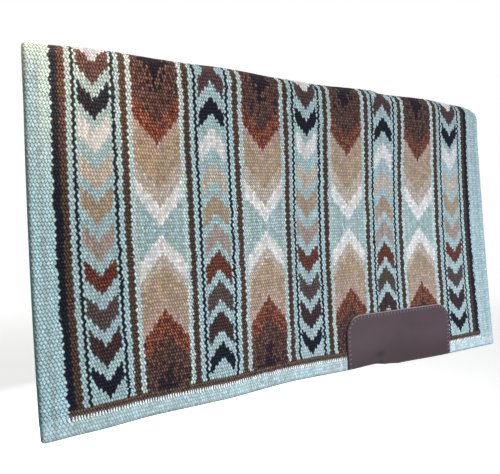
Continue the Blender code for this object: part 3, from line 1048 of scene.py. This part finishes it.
# How fast the painted shade of an oval grows across and down the float, and what is added to each in a tooth.
ACROSS_WEIGHT = 0.62
DOWN_WEIGHT = 0.88
TOOTH_ACROSS = 0.38
TOOTH_DOWN = -0.28
down_middle = add_node(tree, MATHS, {0: down_float, 1: 2, 2: -1}, operation="MULTIPLY_ADD")
across_upright = add_node(tree, MATHS, {0: across_float, 1: 2, 2: -1}, operation="MULTIPLY_ADD")
across_middle = add_node(tree, MATHS, {0: down_middle, 1: SLANT, 2: across_upright}, operation="MULTIPLY_ADD")
tooth = add_node(tree, MATHS, {0: rib, 1: TEETH_RIB, 2: 0.5}, operation="COMPARE")
below_teeth = add_node(tree, MATHS, {0: rib, 1: TEETH_RIB}, operation="GREATER_THAN")
across_weight = add_node(tree, MATHS, {0: tooth, 1: TOOTH_ACROSS, 2: ACROSS_WEIGHT}, operation="MULTIPLY_ADD")
down_weight = add_node(tree, MATHS, {0: tooth, 1: TOOTH_DOWN, 2: DOWN_WEIGHT}, operation="MULTIPLY_ADD")
across_square = add_node(tree, MATHS, {0: across_middle, 1: across_middle}, operation="MULTIPLY")
down_square = add_node(tree, MATHS, {0: down_middle, 1: down_middle}, operation="MULTIPLY")
across_part = add_node(tree, MATHS, {0: across_square, 1: across_weight}, operation="MULTIPLY")
oval = add_node(tree, MATHS, {0: down_square, 1: down_weight, 2: across_part}, operation="MULTIPLY_ADD")
# Painted light: each float's middle is lit, and the gaps round it are shaded.
painted_float_light = add_node(tree, RANGE, {
    "Value": oval, "From Min": 0.1, "From Max": 1.0, "To Min": 1.35, "To Max": 0.4,
}, interpolation_type="SMOOTHSTEP")
print("ovals lean by", round(math.degrees(math.atan(-SLANT * FLOAT_PITCH / RIB_PITCH))), "degrees")

# %% [markdown]
# ## Fibres, edges and the wool's finish
#
# Fine noise drawn out down the float gives it fibres. Contrast is strong in dark yarns,
# and weak in undyed ones and in the front half, over which painted haze lies. In the
# photograph a thin dark line runs along the hem's lip and the ends, which turn away from
# the light, so painted shade darkens the wool there over a few millimetres. Wool has
# nearly no gloss, and a trace of sheen from its loose fibres; bright floats are also
# painted less rich, as that sheen.

# %% Fibres and contrast
FIBRE_SCALE = (1.6, 0.45, 0)
# What the rolled border below the teeth, and the teeth themselves, add to contrast, and the painted highlight
# that the hem's roll and the teeth get.
HEM_CONTRAST = -0.45
TOOTH_CONTRAST = 1.0
HEM_LIGHT = 0.16
TOOTH_LIGHT = 0.08
fibre_place = add_node(tree, VECTORS, {0: weave, 1: FIBRE_SCALE}, operation="MULTIPLY")
fibres = add_node(tree, "ShaderNodeTexNoise", {"Vector": fibre_place, "Scale": 1.0, "Detail": 3.0})
shade = add_node(tree, RANGE, {
    "Value": fibres.outputs[0], "From Min": 0.3, "From Max": 0.7, "To Min": 0.55, "To Max": 1.45,
})
by_depth = add_node(tree, RANGE, {"Value": pale, "To Min": 2.3, "To Max": 1.05})
# Painted haze: contrast falls towards the front end, farther from the camera.
hazy = add_node(tree, RANGE, {
    "Value": yarn, "From Min": 250, "From Max": 650, "To Min": 1.0, "To Max": 0.55,
})
undyed = add_node(tree, RANGE, {
    "Value": lightness, "From Min": 0.56, "From Max": 0.68, "To Min": 1.0, "To Max": 0.55,
})
rolled = add_node(tree, MATHS, {0: below_teeth, 1: HEM_CONTRAST, 2: 1.0}, operation="MULTIPLY_ADD")
softer = add_node(tree, MATHS, {0: undyed, 1: rolled}, operation="MULTIPLY")
dyed = add_node(tree, MATHS, {0: by_depth, 1: softer}, operation="MULTIPLY")
contrast = add_node(tree, MATHS, {0: dyed, 1: hazy}, operation="MULTIPLY")
textured = add_node(tree, MATHS, {0: painted_float_light, 1: shade}, operation="MULTIPLY")
bright_teeth = add_node(tree, MATHS, {0: tooth, 1: in_hem}, operation="MULTIPLY")
tooth_contrast = add_node(tree, MATHS, {
    0: bright_teeth, 1: TOOTH_CONTRAST, 2: contrast,
}, operation="MULTIPLY_ADD")
shaded = add_node(tree, MATHS, {0: textured, 1: tooth_contrast}, operation="POWER")
# Painted highlight on the hem's roll and, a little, on the teeth.
lit_hem = add_node(tree, MATHS, {0: below_teeth, 1: HEM_LIGHT, 2: 1.0}, operation="MULTIPLY_ADD")
lit = add_node(tree, MATHS, {0: bright_teeth, 1: TOOTH_LIGHT, 2: lit_hem}, operation="MULTIPLY_ADD")
print("fibres are", round(FIBRE_SCALE[0] / FIBRE_SCALE[1], 1), "times as long as wide")

# %% Painted edge shade, painted sheen and the shader
LIP_SHARE = 0.85
HEM_COLOUR = -0.12
TOOTH_COLOUR = -0.45
SWELL = -0.5
ROUGHNESS = 0.9
GLOSS = 0.08
SHEEN = 0.02
from_front = add_node(tree, MATHS, {0: WEAVE_LENGTH, 1: yarn}, operation="SUBTRACT")
from_hem = add_node(tree, MATHS, {0: HALF_WIDTH, 1: height}, operation="SUBTRACT")
from_end = add_node(tree, MATHS, {0: yarn, 1: from_front}, operation="MINIMUM")
from_lip = add_node(tree, MATHS, {0: from_hem, 1: LIP_SHARE}, operation="MULTIPLY")
from_edge = add_node(tree, MATHS, {0: from_end, 1: from_lip}, operation="MINIMUM")
# Painted shade: the hem's lip and the ends turn from the light and darken over a few millimetres.
edge = add_node(tree, RANGE, {
    "Value": from_edge, "From Min": 1.5, "From Max": 3.8, "To Min": 0.4, "To Max": 1.0,
})
lit_or_hidden = add_node(tree, MATHS, {0: lit, 1: edge}, operation="MULTIPLY")
brightness = add_node(tree, MATHS, {0: shaded, 1: lit_or_hidden}, operation="MULTIPLY")
grain_and_painted_light = add_node(tree, VECTORS, {0: uneven, "Scale": brightness}, operation="SCALE")
# Painted sheen: bright floats lose colour as if their loose fibres caught the light, dark ones gain it.
painted_hair_sheen = add_node(tree, RANGE, {
    "Value": brightness, "From Min": 0.4, "From Max": 1.5, "To Min": 1.25, "To Max": 0.85,
})
# Painted haze: the front end, farther from the camera, is a little less rich.
near = add_node(tree, RANGE, {
    "Value": yarn, "From Min": 100, "From Max": 800, "To Min": 1.1, "To Max": 0.92,
})
hem_fade = add_node(tree, MATHS, {0: below_teeth, 1: HEM_COLOUR, 2: near}, operation="MULTIPLY_ADD")
creamy = add_node(tree, MATHS, {0: bright_teeth, 1: TOOTH_COLOUR, 2: hem_fade}, operation="MULTIPLY_ADD")
saturation = add_node(tree, MATHS, {0: painted_hair_sheen, 1: creamy}, operation="MULTIPLY")
with_painted_hair_sheen = add_node(tree, "ShaderNodeHueSaturation", {"Color": grain_and_painted_light, "Saturation": saturation})
swell = add_node(tree, MATHS, {0: oval, 1: SWELL, 2: fibres.outputs[0]}, operation="MULTIPLY_ADD")
bump = add_node(tree, "ShaderNodeBump", {"Strength": 0.7, "Distance": 0.5 * MM, "Height": swell})
shader.inputs["Roughness"].default_value = ROUGHNESS
shader.inputs["Specular IOR Level"].default_value = GLOSS
shader.inputs["Sheen Weight"].default_value = SHEEN
shader.inputs["Sheen Roughness"].default_value = 0.5
tree.links.new(with_painted_hair_sheen.outputs[0], shader.inputs["Base Color"])
tree.links.new(bump.outputs[0], shader.inputs["Normal"])
print(len(tree.nodes), "nodes in", wool.name)

# %% [markdown]
# ## Hide
#
# Bridle leather is dressed with oil and wax, so it gives the eye a smooth, slightly
# glossy dark skin whose colour is never even. It could be one brown, but the photograph
# shows it darker towards the fold, shaded along its rim and where it is dented, with a
# raw pale edge on top that catches the light. Here that shade and that highlight are
# painted. The measure across the hide, kept on its points, places each of these.

# %% Leather
# Each patch of painted shade in the dent: how far below the dent, its half width and height, and its
# strength.
DENT_SHADES = ((0, 15, 7, 0.75), (13, 6, 14, 0.5))
HIDE_TONES = ("#493B42", "#54454D")
FOLD_TONE = "#3C2D34"
RIM_SHADE_TONE = "#332A2D"
RAW_LIT_TONE = "#A49496"
DENT_SHADE_TONE = "#292327"
hide = bpy.data.materials.new("oiled bridle leather")
hide.use_nodes = True
tree = hide.node_tree
shader = tree.nodes["Principled BSDF"]
where = add_node(tree, "ShaderNodeTexCoord").outputs["Object"]
clouds = add_node(tree, "ShaderNodeTexNoise", {"Vector": where, "Scale": 14.0, "Detail": 4.0})
tone = add_node(tree, RAMP, {0: clouds.outputs[0]})
for element, position, code in zip(tone.color_ramp.elements, (0.3, 0.7), HIDE_TONES):
    element.position, element.color = position, linear(code)
on_hide = add_node(tree, "ShaderNodeAttribute", attribute_name="hide").outputs["Vector"]
hide_place = add_node(tree, "ShaderNodeSeparateXYZ", {0: on_hide})
# Darker towards the fold.
by_fold = add_node(tree, RANGE, {
    "Value": hide_place.outputs["Y"], "From Min": 45, "From Max": 88, "To Min": 0.0, "To Max": 0.7,
}, interpolation_type="SMOOTHSTEP")
darker_by_fold = add_node(tree, MIX, {0: by_fold, 6: tone, 7: linear(FOLD_TONE)}, data_type="RGBA")
# Painted shade along the rim: the round edge turns from the light, and a thin shadow falls beside it.
rim_shade = add_node(tree, RANGE, {
    "Value": hide_place.outputs["Z"], "From Min": 0.7, "From Max": 2.4, "To Min": 0.85, "To Max": 0.0,
})
with_rim_shade = add_node(tree, MIX, {0: rim_shade, 6: darker_by_fold, 7: linear(RIM_SHADE_TONE)}, data_type="RGBA")
# The raw pale edge, with a painted highlight along the top, where it faces up.
near_top = add_node(tree, RANGE, {
    "Value": hide_place.outputs["Y"], "From Min": 3, "From Max": 12, "To Min": 1.0, "To Max": 0.0,
})
raw_lit_edge = add_node(tree, RANGE, {
    "Value": hide_place.outputs["Z"], "From Min": 1.2, "From Max": 2.0, "To Min": 0.85, "To Max": 0.0,
})
lit_raw_top = add_node(tree, MATHS, {0: near_top, 1: raw_lit_edge}, operation="MULTIPLY")
with_lit_raw_top = add_node(tree, MIX, {0: lit_raw_top, 6: with_rim_shade, 7: linear(RAW_LIT_TONE)}, data_type="RGBA")
dent_shaded = with_lit_raw_top
# Painted shade in the dent.
for lower, wide, high, most in DENT_SHADES:
    dent_shade_middle = (DENT_PLACE + CLOTH_LENGTH / 2 - LEATHER_REAR, DENT_HEIGHT + lower - LEATHER_TOP, 0)
    dent_place = add_node(tree, VECTORS, {0: on_hide, 1: dent_shade_middle}, operation="SUBTRACT")
    dent_flat = add_node(tree, VECTORS, {0: dent_place, 1: (1 / wide, 1 / high, 0)}, operation="MULTIPLY")
    from_dent = add_node(tree, VECTORS, {0: dent_flat}, operation="LENGTH")
    in_dent = add_node(tree, RANGE, {
        "Value": from_dent.outputs["Value"], "From Min": 0.0, "From Max": 1.3, "To Min": most, "To Max": 0.0,
    }, interpolation_type="SMOOTHSTEP")
    dent_shaded = add_node(tree, MIX, {0: in_dent, 6: dent_shaded, 7: linear(DENT_SHADE_TONE)}, data_type="RGBA")
pores = add_node(tree, "ShaderNodeTexVoronoi", {"Vector": where, "Scale": 900.0})
grain = add_node(tree, "ShaderNodeBump", {
    "Strength": 0.25, "Distance": 0.15 * MM, "Height": pores.outputs["Distance"],
})
tree.links.new(dent_shaded.outputs[2], shader.inputs["Base Color"])
tree.links.new(grain.outputs[0], shader.inputs["Normal"])
shader.inputs["Roughness"].default_value = 0.5
shader.inputs["Specular IOR Level"].default_value = 0.2
for piece in leathers.values():
    piece.data.materials.append(hide)
print(len(tree.nodes), "nodes in", hide.name)

# %% [markdown]
# ## Thread
#
# Waxed linen gives the eye a pale, dull line of beads on the dark hide. The twist of its
# strands could be modelled, but a stitch is 6 mm long, so a very fine noise in two close
# greys stands for the twist.

# %% Thread
THREAD_TONES = ("#584E53", "#6E6468")
thread.use_nodes = True
tree = thread.node_tree
shader = tree.nodes["Principled BSDF"]
where = add_node(tree, "ShaderNodeTexCoord").outputs["Object"]
twist = add_node(tree, "ShaderNodeTexNoise", {"Vector": where, "Scale": 1500.0})
tone = add_node(tree, RAMP, {0: twist.outputs[0]})
for element, code in zip(tone.color_ramp.elements, THREAD_TONES):
    element.color = linear(code)
tree.links.new(tone.outputs[0], shader.inputs["Base Color"])
shader.inputs["Roughness"].default_value = 0.6
print(len(tree.nodes), "nodes in", thread.name)

# %% [markdown]
# ## Light
#
# The photograph seems to have soft daylight and a low sun that warms the rear top
# corner. A pale world alone lights every side alike, and ribs show by their shaded
# sides. So a small warm lamp stands for the sun, a larger one for a window in front,
# one above for the sky, and one far behind for a second window.

# %% World and lamps
WORLD_LIGHT = 0.24
DAYLIGHT = "#F6F9FF"
world = bpy.data.worlds.new("daylight room")
bpy.context.scene.world = world
world.use_nodes = True
tree = world.node_tree
paths = add_node(tree, "ShaderNodeLightPath")
seen = add_node(tree, MATHS, {
    0: paths.outputs["Is Camera Ray"], 1: paths.outputs["Is Glossy Ray"],
}, operation="MAXIMUM")
seen = add_node(tree, MATHS, {0: seen, 1: paths.outputs["Is Transmission Ray"]}, operation="MAXIMUM")
strength = add_node(tree, RANGE, {"Value": seen, 3: WORLD_LIGHT, 4: 1.0})
backdrop = tree.nodes["Background"]
backdrop.inputs["Color"].default_value = (1, 1, 1, 1)
tree.links.new(strength.outputs[0], backdrop.inputs["Strength"])
bpy.context.scene.view_settings.view_transform = "Standard"


def add_lamp(name, place, aim, size, watts, colour):
    """A square area lamp that looks at a point."""
    data = bpy.data.lights.new(name, "AREA")
    data.size, data.energy, data.color = size, watts, linear(colour)[:3]
    lamp = bpy.data.objects.new(name, data)
    lamp.location = place
    lamp.rotation_euler = (Vector(aim) - Vector(place)).to_track_quat("-Z", "Y").to_euler()
    bpy.context.collection.objects.link(lamp)


# Each lamp: name, place, what it looks at, size, watts and colour.
LAMPS = (
    ("low sun", (-0.7, -0.4, 0.35), (-0.4, 0, -0.02), 0.4, 2.4, "#FFDDB0"),
    ("window", (0.35, -0.95, -0.5), (0.2, 0, -0.4), 0.8, 7.2, DAYLIGHT),
    ("sky", (0.1, 0, 1.3), (0.1, 0, 0), 1.2, 15, DAYLIGHT),
    ("far window", (-0.2, 1.6, 0.2), (0, 0, -0.25), 1.2, 22, DAYLIGHT),
)
for lamp in LAMPS:
    add_lamp(*lamp)
print("lamps:", ", ".join(lamp[0] for lamp in LAMPS))

# %% [markdown]
# ## The floor
#
# The photograph is cut out on white and shows no floor. The pad could hang before the
# world alone. A flat, pale plane well below it gives the eye a room to read instead,
# and brightens with distance by a light of its own that only the camera sees. The floor
# is a stage, so the part leaves it out.

# %% The floor
FLOOR_HEIGHT = -0.9
FLOOR_HALF = 8
FLOOR_TONES = ("#EDEDEB", "#F3F3F1")
FLOOR_CORNERS = ((-1, -1), (1, -1), (1, 1), (-1, 1))
floor_material = bpy.data.materials.new("pale floor")
floor_material.use_nodes = True
tree = floor_material.node_tree
paths = add_node(tree, "ShaderNodeLightPath")
where = add_node(tree, "ShaderNodeTexCoord").outputs["Object"]
distance = add_node(tree, VECTORS, {0: where}, operation="LENGTH")
haze = add_node(tree, RANGE, {
    "Value": distance.outputs["Value"], "From Min": 1.5, "From Max": 5.0, "To Min": 0.45, "To Max": 0.74,
})
fill = add_node(tree, MATHS, {0: paths.outputs["Is Camera Ray"], 1: haze}, operation="MULTIPLY")
plaster = add_node(tree, "ShaderNodeTexNoise", {"Vector": where, "Scale": 3.0})
tone = add_node(tree, RAMP, {0: plaster.outputs[0]})
for element, code in zip(tone.color_ramp.elements, FLOOR_TONES):
    element.color = linear(code)
shader = tree.nodes["Principled BSDF"]
shader.inputs["Roughness"].default_value = 0.9
shader.inputs["Emission Color"].default_value = (1, 1, 1, 1)
tree.links.new(tone.outputs[0], shader.inputs["Base Color"])
tree.links.new(fill.outputs[0], shader.inputs["Emission Strength"])
floor_mesh = bpy.data.meshes.new("floor")
corners = [(x * FLOOR_HALF, y * FLOOR_HALF, FLOOR_HEIGHT) for x, y in FLOOR_CORNERS]
floor_mesh.from_pydata(corners, [], [(0, 1, 2, 3)])
floor_mesh.materials.append(floor_material)
floor = bpy.data.objects.new("floor", floor_mesh)
bpy.context.collection.objects.link(floor)
print("floor", -FLOOR_HEIGHT, "m below the rail")

# %% [markdown]
# ## Which body each piece follows
#
# A cloth that follows one body would tear at the fold. Each half of the cloth is left
# where it was made, and the packed ridge, flaps and leathers are hidden. Leathers and seams
# ride on their flap, as they are sewn to it.

# %% Bodies
for half_name, side in (("right", -1), ("left", 1)):
    flap = half_name + "_flap"
    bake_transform(cloth[half_name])
    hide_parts(flap, "spine_ridge")
    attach(leathers[half_name], flap)
    for leaf_name in ("outer", "inner"):
        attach(seams[f"{half_name}_{leaf_name}_stitches"], flap)
    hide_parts(half_name + "_wear_leather")
    print(half_name, "cloth bends between the ridge and", flap)

# %% [markdown]
# ## Finish
